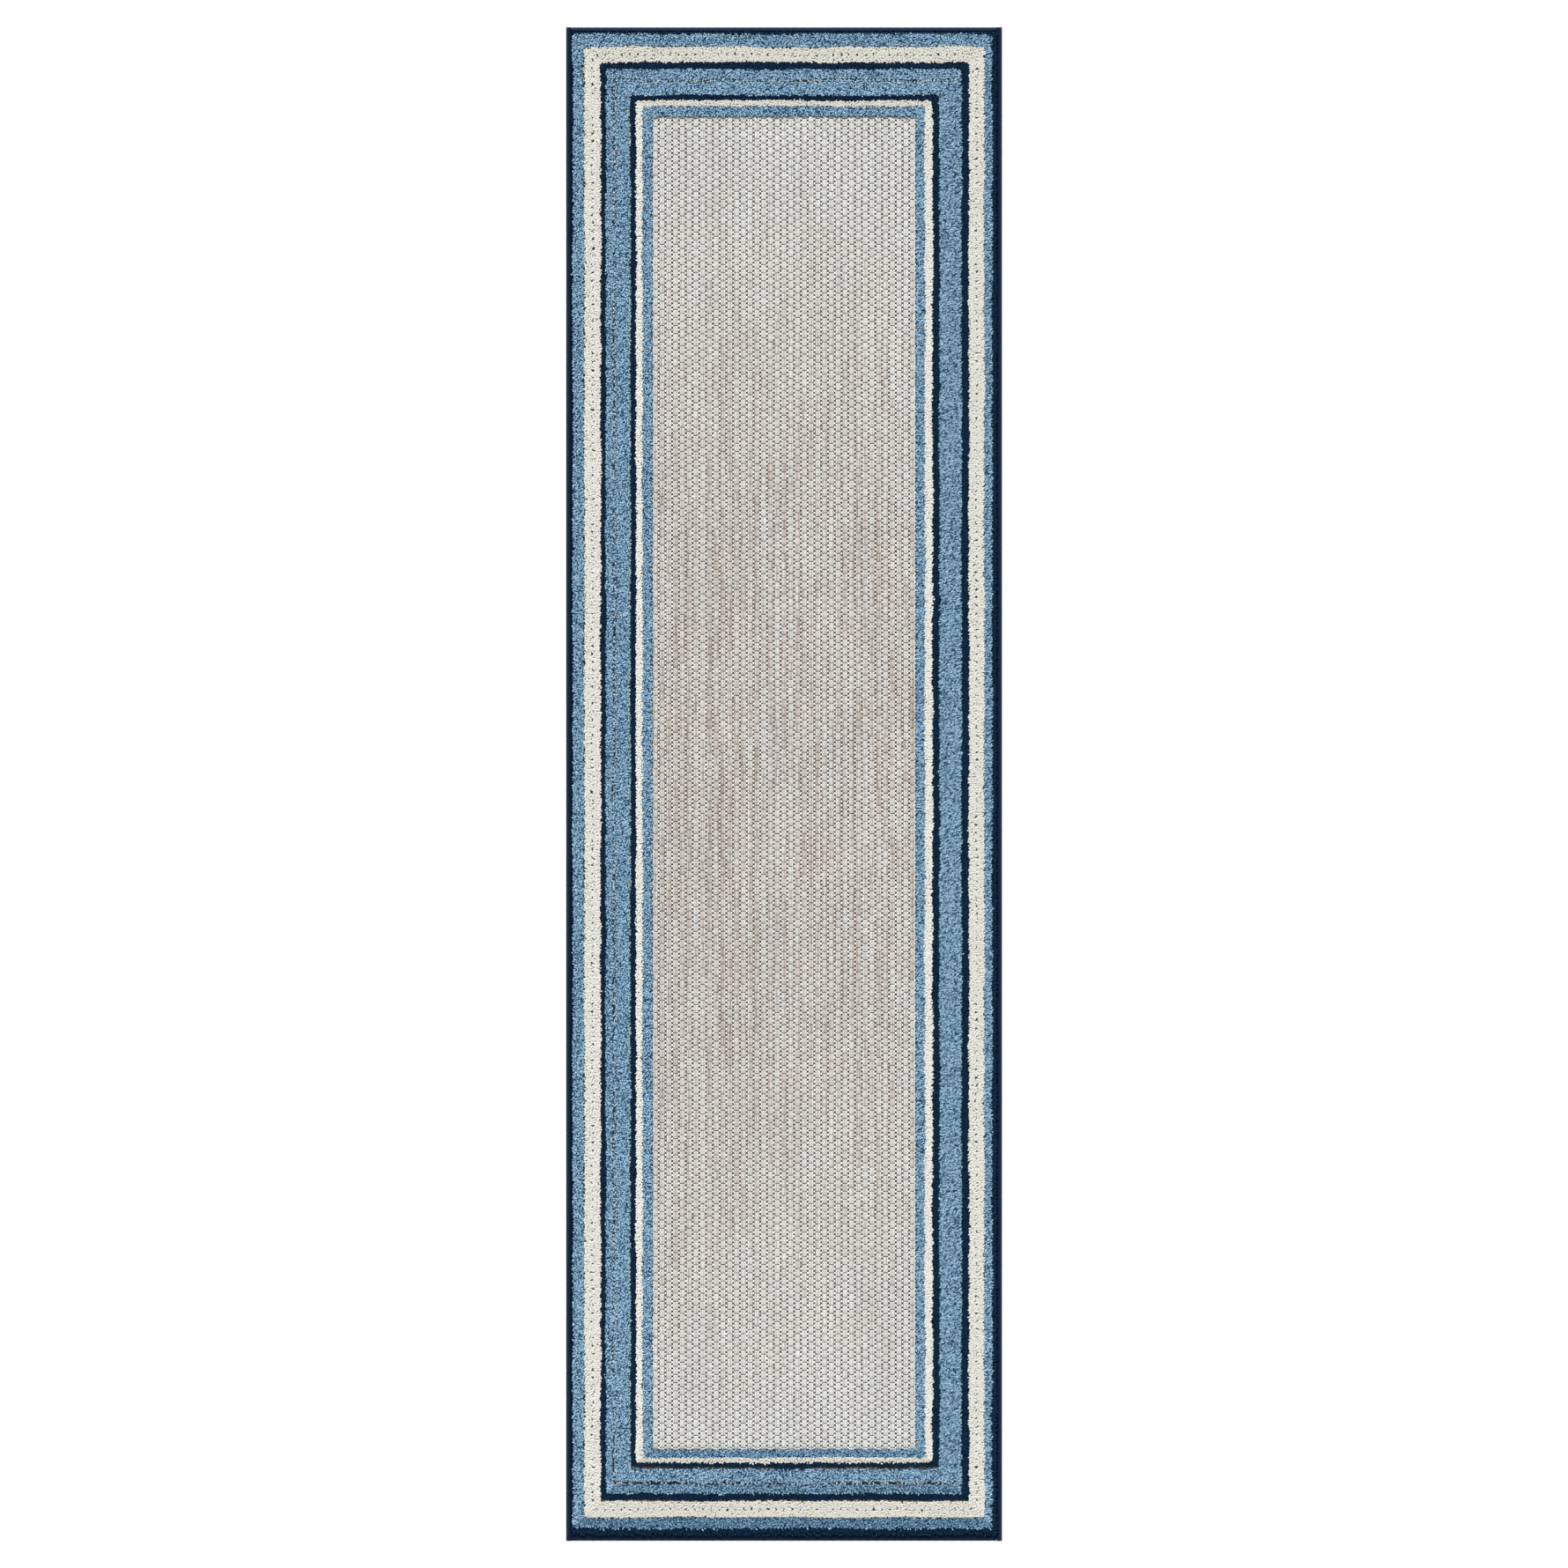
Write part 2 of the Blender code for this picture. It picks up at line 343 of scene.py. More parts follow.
TUFT_PITCH = 0.00215
TUFT_JITTER = 0.00044
TUFT_HALF_LENGTH = 0.00180
TUFT_HALF_WIDTH = 0.00095
TUFT_FOOT = 0.0020
LEAST_FOOT = 0.0008
LEAST_HALF_LENGTH = 0.0010
TUFT_LENGTHS = (0.8, 1.1)
TUFT_WIDTHS = (0.85, 1.15)
TUFT_TONES = (0.1, 1.8)
# The height and width of a tuft at its foot and at its shoulder
TUFT_RINGS = ((0.0, 1.0), (0.82, 1.0))
TUFT_SIDES = 4
TUFT_LEAN = (0.0006, -0.0013)
TUFT_LEAN_SPREAD = 0.0007
TUFT_SET = 0.0006
TUFT_SLANT = 0.6
TUFT_TURN_SPREAD = 1.2
MOST_TUFTS = 13800
# Tufts on the right side are longer and lie more alike. Those beside a groove stand more upright.
RIGHT_STRETCH = 1.3
RIGHT_TURN_SPREAD = 0.45
UPRIGHT_ROOM = 0.003
UPRIGHT_LEAST = 0.2
# Along the bottom edge of a band, some tufts lie right over the next band, with a painted highlight on them
DRAPE_REACH = 0.0030
DRAPE_LEAN = -0.0027
DRAPE_SHARE = 0.42
DRAPE_HIGHLIGHT = 0.8
BAND_CORNER = 0.004
SHARP_CORNER = 0.001
BAND_WAVE = 0.0008
WAVE_LENGTHS = (0.41, 0.17, 0.08, 0.019)
# A groove wider than this shows as a dark line. Every groove opens and closes a little along its way.
SHOWN_GROOVE = 0.0010
GROOVE_USUAL = 0.7
GROOVE_SWAY = 0.5
GROOVE_LEAST = 0.15
GROOVE_SEED = 90
TUFT_SEED = 7
FLECK_PITCH = 0.0123
FLECK_HOLE = 0.0019

# From the outside in. For each band: how far it has crept sideways in the weaving, the width of the groove
# left outside it at its left, right, bottom and top, and its tone along the sides and at the bottom and top
# ends, where the lie of the pile turns it to or from the light.
PILE_BANDS = {
    "navy_pile_edge": (0.0, (0.0, 0.0, 0.0, 0.0), (1.0, 0.90, 0.80)),
    "blue_pile_outer": (-0.0028, (0.0010, 0.0, 0.0, 0.0), (0.98, 0.56, 0.90)),
    "cream_pile_wide": (-0.0003, (0.0021, 0.0004, 0.0014, 0.0017), (1.0, 0.42, 0.36)),
    "navy_pile_middle": (0.0009, (0.0, 0.0, 0.0030, 0.0), (1.0, 0.85, 0.95)),
    "blue_pile_wide_outer": (-0.0008, (0.0, 0.0, 0.0, 0.0), (1.0, 0.68, 1.0)),
    "blue_pile_wide_inner": (0.0, (0.0023, 0.0009, 0.0036, 0.0022), (1.02, 0.96, 1.1)),
    "navy_pile_inner": (0.0009, (0.0012, 0.0002, 0.0036, 0.0002), (1.0, 0.9, 0.9)),
    "cream_pile_thin": (0.0, (0.0009, 0.0006, 0.0004, 0.0004), (1.4, 0.05, 0.30)),
    "blue_pile_inner": (-0.0009, (0.0, 0.0, 0.0, 0.0), (1.02, 0.70, 0.98)),
}

# Each yarn's colour at the root, darkened there as painted shade, and at the tip, how much its tufts differ
# in tone, how full they are, and the least height they are cut to
PILE_YARNS = {
    "navy": ((0.001, 0.004, 0.012), (0.008, 0.037, 0.088), 0.25, 1.15, 0.84),
    "blue": ((0.004, 0.082, 0.190), (0.405, 0.622, 0.795), 0.56, 1.05, 0.78),
    "cream": ((0.660, 0.645, 0.583), (0.800, 0.789, 0.732), 0.10, 1.38, 0.95),
}
# A yarn's shade: how much of it is even, how much is flecked and how much is cloudy, and how far up a tuft
# the painted shade at its root reaches before its light tip
PILE_EVEN = 0.56
PILE_FLECK = 0.26
PILE_CLOUD = 0.18
ROOT_SHADE_REACH = 1.3


def pile_finish(colour):
    """Twisted yarn, with painted shade that darkens it towards the root and a lighter open tip, no two
    tufts quite alike.
    """
    root, tip, *_ = PILE_YARNS[colour]
    pile = Finish(f"{colour}_pile_yarn", Roughness=0.9, Specular_IOR_Level=0.1)
    cloud = pile.noise(22.0, 2.0)
    fleck = pile.noise(1400.0, 2.0)
    tone = pile.carried("tone") * (PILE_EVEN + PILE_FLECK * fleck + PILE_CLOUD * cloud)
    # Painted shade: from the root colour at the foot to the tip colour at the top, by the height up the
    # tuft
    height = pile.carried("rise") ** ROOT_SHADE_REACH
    pile.colour(pile.blend(height * tone, (*root, 1.0), (*tip, 1.0)))
    pile.relief(pile.noise(2200.0, 2.0), 0.0003)
    return pile


def tube_faces(size, count):
    """The faces between this many rings of points, each ring of this size."""
    here = np.arange(size)
    after = (here + 1) % size
    wall = np.stack([here, after, after + size, here + size], -1)
    return np.concatenate([wall + size * ring for ring in range(count - 1)])


def bud_shape(size, rings):
    """An upright bud, 2 wide and 1 high: rings of points, each at a height and a width, and a tip."""
    turns = 2 * math.pi * np.arange(size) / size
    points = [points_at(width * np.cos(turns), width * np.sin(turns), height) for height, width in rings]
    points = np.concatenate([*points, [[0.0, 0.0, 1.0]]])
    foot = np.arange(size)
    last = foot + size * (len(rings) - 1)
    tip = np.stack([last, np.roll(last, -1), np.full(size, len(points) - 1)], -1)
    return points, [tube_faces(size, len(rings)), tip, foot[None, ::-1]]


def repeat_shape(shape, count):
    """Faces of this many copies of a shape whose points follow on from each other."""
    points, faces = shape
    starts = len(points) * np.arange(count)[:, None, None]
    return [(f[None] + starts).reshape(-1, f.shape[1]) for f in faces]


def make_tufts(name, x, y, foot, turn, lean, floor_z, height, size, tone, finish, **more):
    """Stands a tuft at every place. foot is its root's radius; size is its half length and half width."""
    shape = bud_shape(TUFT_SIDES, TUFT_RINGS)
    model = shape[0]
    foot, turn, height, half_length, half_width, lean_x, lean_y = (
        np.broadcast_to(value, len(x))[:, None] for value in (foot, turn, height, *size, *lean)
    )
    rise = model[:, 2][None, :]
    long = np.where(rise > 0, half_length, np.minimum(foot, half_length)) * model[:, 0]
    wide = np.where(rise > 0, half_width, foot) * model[:, 1]
    points = points_at(
        x[:, None] + long * np.cos(turn) - wide * np.sin(turn) + lean_x * rise**2,
        y[:, None] + long * np.sin(turn) + wide * np.cos(turn) + lean_y * rise**2,
        floor_z + height * rise,
    )
    tones = np.repeat(tone, len(model))
    rises = np.tile(model[:, 2], len(x))
    return make_mesh(name, points, repeat_shape(shape, len(x)), finish, tone=tones, rise=rises, **more)


def wave(along, seed):
    """A slow wander to either side, between about -1 and 1, such as a band's edge has."""
    chance = np.random.default_rng(seed)
    total = np.zeros_like(along)
    for length in WAVE_LENGTHS:
        total += np.sin(2 * math.pi * along / length + chance.uniform(0, 2 * math.pi))
    return total / 2


def edge_lines(band, x, y):
    """Where a band's left, right, bottom and top edges lie, at each place along them."""
    low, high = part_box(band)
    order = 10 * list(PILE_BANDS).index(band) if band in PILE_BANDS else 0
    creep = PILE_BANDS[band][0] if order else 0.0
    wander = BAND_WAVE if order else 0.0
    return [
        low.x + creep + wander * wave(y, order),
        high.x + creep + wander * wave(y, order + 1),
        low.y + wander * wave(x, order + 2),
        high.y + wander * wave(x, order + 3),
    ]


def side_depths(band, x, y):
    """How far inside a band's left, right, bottom and top edges each place is."""
    left, right, bottom, top = edge_lines(band, x, y)
    return np.stack([x - left, right - x, y - bottom, top - y])


def depth_inside(depths, corner):
    """The least of the four depths, measured round the corners. It is negative outside."""
    across = np.minimum(depths[0], depths[1])
    along = np.minimum(depths[2], depths[3])
    rounded = corner - np.hypot(corner - across, corner - along)
    return np.where((across < corner) & (along < corner), rounded, np.minimum(across, along))


chance = np.random.default_rng(TUFT_SEED)
finishes = {colour: pile_finish(colour) for colour in PILE_YARNS}
pile_floor = high.z - GROUND_RIB_DEPTH
pile_low, pile_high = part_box("navy_pile_edge")
columns = np.arange(pile_low.x + TUFT_PITCH / 2, pile_high.x, TUFT_PITCH)
rows = np.arange(pile_low.y + TUFT_PITCH / 2, pile_high.y, TUFT_PITCH)
tuft_x, tuft_y = np.meshgrid(columns, rows, indexing="ij")
tuft_x = tuft_x + np.where(np.arange(len(rows)) % 2, TUFT_PITCH / 2, 0.0)
tuft_x = (tuft_x + chance.normal(0, TUFT_JITTER, tuft_x.shape)).ravel()
tuft_y = (tuft_y + chance.normal(0, TUFT_JITTER, tuft_y.shape)).ravel()
band_names = [*PILE_BANDS, "field_warp_floats"]
outlines = [side_depths(name, tuft_x, tuft_y - TUFT_SET) for name in band_names]
grooves = np.array([widths for _, widths, _ in PILE_BANDS.values()] + [[0.0] * 4])
sway = GROOVE_SWAY * wave(tuft_x + tuft_y, GROOVE_SEED)
opening = np.clip(GROOVE_USUAL + sway, GROOVE_LEAST, 1.0)
corners = [SHARP_CORNER] + [BAND_CORNER] * (len(PILE_BANDS) - 1) + [SHARP_CORNER]
for order, band in enumerate(PILE_BANDS):
    nearest = outlines[order].argmin(0)
    inside = depth_inside(outlines[order] - grooves[order][:, None] * opening, corners[order])
    beyond = -depth_inside(outlines[order + 1], corners[order + 1])
    spare = np.minimum(inside, beyond)
    room = np.where(grooves[order][nearest] > SHOWN_GROOVE, inside, 1.0)
    room = np.minimum(room, np.where(grooves[order + 1][nearest] > SHOWN_GROOVE, beyond, 1.0))
    keep = spare > 0
    if band == "cream_pile_wide":
        along = np.where(nearest > 1, tuft_x, tuft_y)
        off_fleck = (along + FLECK_PITCH / 2) % FLECK_PITCH - FLECK_PITCH / 2
        keep &= np.hypot(off_fleck, (inside - beyond) / 2) > FLECK_HOLE
    colour = band.split("_")[0]
    *_, spread, fullness, least_height = PILE_YARNS[colour]
    sides_tone, bottom_tone, top_tone = PILE_BANDS[band][2]
    end_tone = np.choose(nearest, (sides_tone, sides_tone, bottom_tone, top_tone))
    drape = np.where(nearest == 2, np.clip(1 - inside / DRAPE_REACH, 0, 1), 0.0)
    drape *= (grooves[order][2] < SHOWN_GROOVE) * (chance.random(len(drape)) < DRAPE_SHARE)
    stretch = np.where((nearest == 1) & (not band.startswith("cream")), RIGHT_STRETCH, 1.0)
    parts = math.ceil(keep.sum() / MOST_TUFTS)
    share = np.searchsorted(np.linspace(-1, 1, parts + 1)[1:-1] * pile_high.x, tuft_x)
    for part in range(parts):
        held = keep & (share == part)
        count = held.sum()
        upright = np.clip(room[held] / UPRIGHT_ROOM, UPRIGHT_LEAST, 1.0)
        half_length = fullness * TUFT_HALF_LENGTH * stretch[held] * chance.uniform(*TUFT_LENGTHS, count)
        narrowed = fullness * TUFT_HALF_WIDTH / stretch[held] ** 0.5
        half_width = narrowed * chance.uniform(*TUFT_WIDTHS, count)
        turn_spread = np.where(nearest[held] == 1, RIGHT_TURN_SPREAD, TUFT_TURN_SPREAD)
        make_tufts(
            f"{band}_tufts" + (f"_{part + 1}" if parts > 1 else ""),
            tuft_x[held],
            tuft_y[held],
            foot=np.minimum(fullness * TUFT_FOOT, LEAST_FOOT + spare[held]),
            turn=TUFT_SLANT + chance.normal(0, 1, count) * turn_spread,
            lean=(
                upright * chance.normal(TUFT_LEAN[0], TUFT_LEAN_SPREAD, count),
                upright * chance.normal(TUFT_LEAN[1], TUFT_LEAN_SPREAD, count) + DRAPE_LEAN * drape[held],
            ),
            floor_z=pile_floor,
            height=(pile_high.z - pile_floor) * chance.uniform(least_height, 1.0, count),
            size=(np.minimum(half_length, LEAST_HALF_LENGTH + room[held]), half_width),
            # Draped tufts get a painted highlight added to their tone
            tone=np.clip(chance.normal(1.0, spread, count), *TUFT_TONES) * end_tone[held]
            + DRAPE_HIGHLIGHT * drape[held],
            finish=finishes[colour],
            replaced=[band],
            slot=f"{colour}_yarn",
        )


# Tie yarns
# Tan ground yarns show as short stitches along the grooves, with dark gaps between them: there some ties
# are painted near black as painted shade. One also comes up through the middle of the wide cream band at
# every few rows, as a brown fleck.

TIE_STEP = FLECK_PITCH / 4
TIE_HALF_LENGTH = 0.0020
TIE_HALF_WIDTH = 0.0016
TIE_RISE = 0.0058
# At the ends the navy bands leave their ties bare and duller. Elsewhere every other tie is mostly painted
# near black, as painted shade in the groove.
TIE_TONES = (0.5, 1.0)
BARE_TONES = (0.25, 0.5)
PAINTED_SHADE_TONES = (0.0, 0.3)
EVEN_SHOWN = 0.7
ODD_SHOWN = 0.15
FLECK_HALF_LENGTH = 0.0012
FLECK_TONES = (0.1, 0.42)
# The near-black low end of these shades is painted shade
TIE_SHADES = [
    (0.0, (0.006, 0.007, 0.010)),
    (0.4, (0.09, 0.078, 0.064)),
    (0.6, (0.42, 0.40, 0.36)),
    (1.0, (0.68, 0.66, 0.61)),
]

tie = Finish("tie_yarn", Roughness=0.9, Specular_IOR_Level=0.2)
tie_shade = tie.add("ValToRGB", {"Fac": tie.carried("tone")}, stops=TIE_SHADES)
tie_fibre = tie.grey(tie.uneven(tie.noise(1500.0), 0.5))
tie.colour(tie.blend(1.0, tie_shade, tie_fibre, "MULTIPLY"))
tie.relief(tie.noise(2600.0), 0.0002)


def tie_row(band, side, inset, step):
    """Places along one side of a band, so far in from its edge, and whether each is an even one."""
    low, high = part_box(band)
    ends = (low.y, high.y) if side < 2 else (low.x, high.x)
    index = np.arange(math.ceil(ends[0] / step) + 1, math.floor(ends[1] / step))
    along = index * step
    line = edge_lines(band, along, along)[side] + inset * (1 if side in (0, 2) else -1)
    return (line, along, index % 2 == 0) if side < 2 else (along, line, index % 2 == 0)


ties = []
for band, (_, widths, _) in PILE_BANDS.items():
    for side, width in enumerate(widths):
        if width > SHOWN_GROOVE:
            x, y, even = tie_row(band, side, width / 2, TIE_STEP)
            bare = band.startswith("navy") and side > 1
            shown = chance.uniform(*(BARE_TONES if bare else TIE_TONES), len(x))
            light = chance.random(len(x)) < np.where(even, EVEN_SHOWN, ODD_SHOWN)
            # Ties not chosen as light take the near-black painted shade
            tone = np.where(light | bare, shown, chance.uniform(*PAINTED_SHADE_TONES, len(x)))
            turn = 0.0 if bare else math.pi / 2
            ties += [(*place, turn, TIE_HALF_LENGTH) for place in zip(x, y, tone)]
for side in range(4):
    x, y, _ = tie_row("cream_pile_wide", side, 0.0, FLECK_PITCH)
    inner_x, inner_y, _ = tie_row("navy_pile_middle", side, 0.0, FLECK_PITCH)
    first = (len(x) - len(inner_x)) // 2
    middle = slice(first, first + len(inner_x))
    x, y = (x[middle] + inner_x) / 2, (y[middle] + inner_y) / 2
    tone = chance.uniform(*FLECK_TONES, len(x))
    ties += [(*place, math.pi / 2, FLECK_HALF_LENGTH) for place in zip(x, y, tone)]
tie_x, tie_y, tie_tone, tie_turn, tie_half_length = np.array(ties).T
make_tufts(
    "tie_yarns",
    tie_x,
    tie_y,
    foot=TIE_HALF_WIDTH,
    turn=tie_turn,
    lean=(0.0, 0.0),
    floor_z=pile_floor,
    height=TIE_RISE,
    size=(tie_half_length, TIE_HALF_WIDTH),
    tone=tie_tone,
    finish=tie,
    slot="ground_yarn",
)


# Field binding weft
# Thin yarns that run across the field under the long floats, beaten up into one ribbed bed. Its dark colour
# is partly the weft's own taupe and partly painted shade: it shows as a short dark bar wherever a float
# dives, and as the dark in the holes.

FIELD_COLUMNS = 39
FIELD_ROWS = 164
FIELD_BED_DROP = 0.0003
FIELD_BED_RIB = 0.0004

low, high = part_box("field_warp_floats")
weft_low, weft_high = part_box("field_binding_weft")
column_pitch = (high.x - low.x) / FIELD_COLUMNS
row_pitch = (high.y - low.y) / FIELD_ROWS

taupe_and_shade_bed = Finish("field_bed_with_painted_shade", Roughness=0.95)
bed_fleck = taupe_and_shade_bed.noise(900.0, 3.0)
# Dark taupe, partly the weft's own colour and partly painted shade for the holes and dives
taupe_and_shade_bed.colour(taupe_and_shade_bed.blend(bed_fleck, (0.030, 0.025, 0.020, 1.0), (0.11, 0.095, 0.075, 1.0)))
taupe_and_shade_bed.relief(taupe_and_shade_bed.noise(2400.0, 2.0), 0.0002)
make_slab(
    "field_binding_weft_bed",
    np.linspace(low.x, high.x, ACROSS_STEPS),
    np.arange(low.y, high.y, row_pitch / (2 * RIB_STEPS)),
    lambda x, y: weft_high.z - FIELD_BED_DROP + FIELD_BED_RIB * rib(y - low.y, row_pitch / 2),
    lambda x, y: weft_low.z,
    taupe_and_shade_bed,
    replaced=["field_binding_weft"],
    slot="field_yarn",
)


# Field warp floats
# Three soft yarns side by side make each float. A float rides over the weft for one row and dives, and the
# next column is half a row over. The yarns are space-dyed in ivory, grey and taupe, which runs in streaks.

YARN_SPACING = 0.00245
YARN_HALF_WIDTH = 0.00132
YARN_HEIGHT = 0.00115
FLOAT_SHARE = 0.955
SHORTEST_FLOAT = 0.001
FLOAT_PIECES = 5
FIRST_FLOAT = 0.25
# How far a yarn strays across and along, and how its height differs
FLOAT_SHIFT = (0.00012, 0.00016)
FLOAT_LIFTS = (0.86, 1.08)
# The dye: where it stands in the middle of the rug, and how much it differs along a yarn and from float to
# float. Towards both ends it is paler and plainer.
DYE_MIDDLE = 0.38
DYE_PALER = 0.31
DYE_STREAK = 0.25
DYE_PLAINER = 0.13
DYE_YARN_SPREAD = 0.35
DYE_FLOAT_SPREAD = 0.06
DYE_WAVES = ((0.9, 0.25), (0.31, 0.35), (0.13, 0.30), (0.047, 0.22))
PLAIN_END = 1.0
FIRST_YARN_SEED = 1000
# Each station along a float: its place, lift and width
FLOAT_STATIONS = (
    (-1.0, -0.3, 0.80),
    (-0.92, 0.88, 0.95),
    (-0.76, 1.0, 1.0),
    (0.76, 1.0, 1.0),
    (0.92, 0.88, 0.95),
    (1.0, -0.3, 0.80),
)
YARN_SECTION = ((-1.0, 0.0), (1.0, 0.0), (0.84, 1.0), (-0.84, 1.0))


def float_shape():
    """One float of one yarn, 2 long and 2 wide, arched between its two ends."""
    points = [
        (side * width, along, height * lift)
        for along, lift, width in FLOAT_STATIONS
        for side, height in YARN_SECTION
    ]
    first = np.arange(len(YARN_SECTION))[None, :]
    last = first[:, ::-1] + len(points) - len(YARN_SECTION)
    sides = tube_faces(len(YARN_SECTION), len(FLOAT_STATIONS))
    return np.array(points), [np.concatenate([sides, first, last])]


def yarn_tone(place, yarn):
    """Where a yarn's dye stands at each place along it: long streaks in the middle of the rug, paler and
    plainer towards both ends."""
    chance = np.random.default_rng(FIRST_YARN_SEED + yarn)
    streak = chance.normal(0, DYE_YARN_SPREAD)
    for length, strength in DYE_WAVES:
        streak = streak + strength * np.sin(2 * math.pi * place / length + chance.uniform(0, 2 * math.pi))
    plain = np.clip(np.abs(place) / PLAIN_END, 0, 1) ** 2
    return DYE_MIDDLE + DYE_PALER * plain + (DYE_STREAK - DYE_PLAINER * plain) * streak


def field_finish(name, stops):
    """Dyed yarn: its colour comes from where its dye stands, a little cloudy over the whole cloth."""
    yarn = Finish(name, Roughness=0.75, Specular_IOR_Level=0.3)
    dye = yarn.add("ValToRGB", {"Fac": yarn.carried("tone")}, stops=stops)
    cloud = yarn.noise(6.0, 3.0, (1.6, 0.8, 1.0))
    fibre = yarn.noise(900.0, 2.0, (1.0, 0.15, 1.0))
    tone = yarn.uneven(cloud, 0.24) * yarn.uneven(fibre, 0.64)
    yarn.colour(yarn.blend(1.0, dye, yarn.grey(tone), "MULTIPLY"))
    yarn.relief(yarn.noise(1800.0, 2.0, (1.0, 0.12, 1.0)), 0.0003)
    return yarn


DYES = [
    (0.00, (0.33, 0.27, 0.22)),
    (0.20, (0.46, 0.41, 0.36)),
    (0.45, (0.57, 0.55, 0.51)),
    (0.70, (0.62, 0.62, 0.59)),
    (1.00, (0.71, 0.72, 0.70)),
]
float_finish = field_finish("field_float_yarn", DYES)
shape = float_shape()
model = shape[0]
half = FLOAT_SHARE * row_pitch / 2
rows = np.arange(-1, FIELD_ROWS + 1)
for part, columns in enumerate(np.array_split(np.arange(FIELD_COLUMNS), FLOAT_PIECES)):
    column, row, side = (a.ravel() for a in np.meshgrid(columns, rows, (-1, 0, 1), indexing="ij"))
    x = low.x + (column + 0.5) * column_pitch + side * YARN_SPACING
    y = low.y + (row + FIRST_FLOAT + 0.5 * (column % 2)) * row_pitch
    shown = (y + half > low.y + SHORTEST_FLOAT) & (y - half < high.y - SHORTEST_FLOAT)
    yarn = (3 * column + side + 1)[shown]
    x = x[shown] + chance.normal(0, FLOAT_SHIFT[0], shown.sum())
    y = y[shown] + chance.normal(0, FLOAT_SHIFT[1], shown.sum())
    lift = YARN_HEIGHT * chance.uniform(*FLOAT_LIFTS, len(x))
    points = points_at(
        x[:, None] + YARN_HALF_WIDTH * model[:, 0],
        np.clip(y[:, None] + half * model[:, 1], low.y, high.y),
        weft_high.z + lift[:, None] * model[:, 2],
    )
    tone = np.empty(len(x))
    for number in np.unique(yarn):
        tone[yarn == number] = yarn_tone(y[yarn == number], int(number))
    tone = np.clip(tone + chance.normal(0, DYE_FLOAT_SPREAD, len(x)), 0, 1)
    make_mesh(
        f"field_floats_{part + 1}",
        points,
        repeat_shape(shape, len(x)),
        float_finish,
        replaced=["field_warp_floats"],
        slot="field_yarn",
        tone=np.repeat(tone, len(model)),
    )


# Field binder yarns
# A thin pale yarn runs between each two columns of floats. It comes up over every weft as a small bead,
# with a dark hole before the next.

BEAD_HALF_WIDTH = 0.00150
BEAD_HALF_LENGTH = 0.0020
BEAD_HEIGHT = 0.00115
BEAD_SIDES = 6
# The height and width of a bead at its foot and at its shoulder
BEAD_RINGS = ((0.0, 1.0), (0.80, 0.86))
BEAD_SHIFT = 0.00008
BEAD_SIZES = (0.88, 1.1)
BEAD_DYE = 0.62
BEAD_DYE_SPREAD = 0.22
BINDER_DYES = [(0.0, (0.48, 0.43, 0.36)), (0.30, (0.80, 0.78, 0.72)), (1.0, (0.98, 0.98, 0.95))]

binder_finish = field_finish("field_binder_yarn", BINDER_DYES)
shape = bud_shape(BEAD_SIDES, BEAD_RINGS)
model = shape[0]
thirds = np.array_split(np.arange(FIELD_COLUMNS + 1), 3)
for word, lines in zip(("left", "middle", "right"), thirds):
    line, row = (a.ravel() for a in np.meshgrid(lines, np.arange(2 * FIELD_ROWS), indexing="ij"))
    x = np.clip(low.x + line * column_pitch, low.x + BEAD_HALF_WIDTH, high.x - BEAD_HALF_WIDTH)
    y = low.y + (row + 0.5) * row_pitch / 2
    x = x + chance.normal(0, BEAD_SHIFT, len(x))
    size = chance.uniform(*BEAD_SIZES, len(x))[:, None]
    points = points_at(
        x[:, None] + BEAD_HALF_WIDTH * size * model[:, 0],
        np.clip(y[:, None] + BEAD_HALF_LENGTH * size * model[:, 1], low.y, high.y),
        weft_high.z + BEAD_HEIGHT * model[:, 2],
    )
    tone = np.clip(chance.normal(BEAD_DYE, BEAD_DYE_SPREAD, len(x)), 0, 1)
    make_mesh(
        f"field_binders_{word}",
        points,
        repeat_shape(shape, len(x)),
        binder_finish,
        replaced=["field_binding_weft"],
        slot="field_yarn",
        tone=np.repeat(tone, len(model)),
    )


# Serged sides
# Each long side is overcast: close turns of navy yarn wrap a round filler cord and the edge of the ground
# cloth. The turns lie a little aslant and make a fine crosswise rib on the roll.

TURN_PITCH = 0.0025
TURN_STEPS = 3
TURN_DEPTH = 0.00022
TURN_SLANT = 0.0009
WRAP_WALL = 0.0007
WRAP_STEPS = 9
# The crest of the roll faces up and outwards, and is painted a little paler there as a painted highlight
CREST_WAY = np.array([-0.36, 0.93])
CREST_SPREAD = 0.16


def wrap_outline(width, height, lip_top, wall, steps):
    """A strip folded round an edge: its middle line as (inwards, up) points, and the way out at each."""
    radius = height / 2 - wall / 2
    nose = height / 2
    lip = (width - nose, lip_top - wall / 2 - nose)
    reach = math.hypot(*lip)
    tangent = math.atan2(lip[1], lip[0]) + math.acos(min(1.0, radius / reach))
    middle = [(width, wall / 2), (0.5 * (width + nose), wall / 2)]
    for step in range(steps + 1):
        angle = 1.5 * math.pi - (1.5 * math.pi - tangent) * step / steps
        middle.append((nose + radius * math.cos(angle), nose + radius * math.sin(angle)))
    top = middle[-1]
    rim = (width, lip_top - wall / 2)
    middle = np.array([*middle, ((top[0] + rim[0]) / 2, (top[1] + rim[1]) / 2), rim])
    way = np.gradient(middle, axis=0)
    way /= np.linalg.norm(way, axis=1)[:, None]
    return middle, np.stack([-way[:, 1], way[:, 0]], -1)


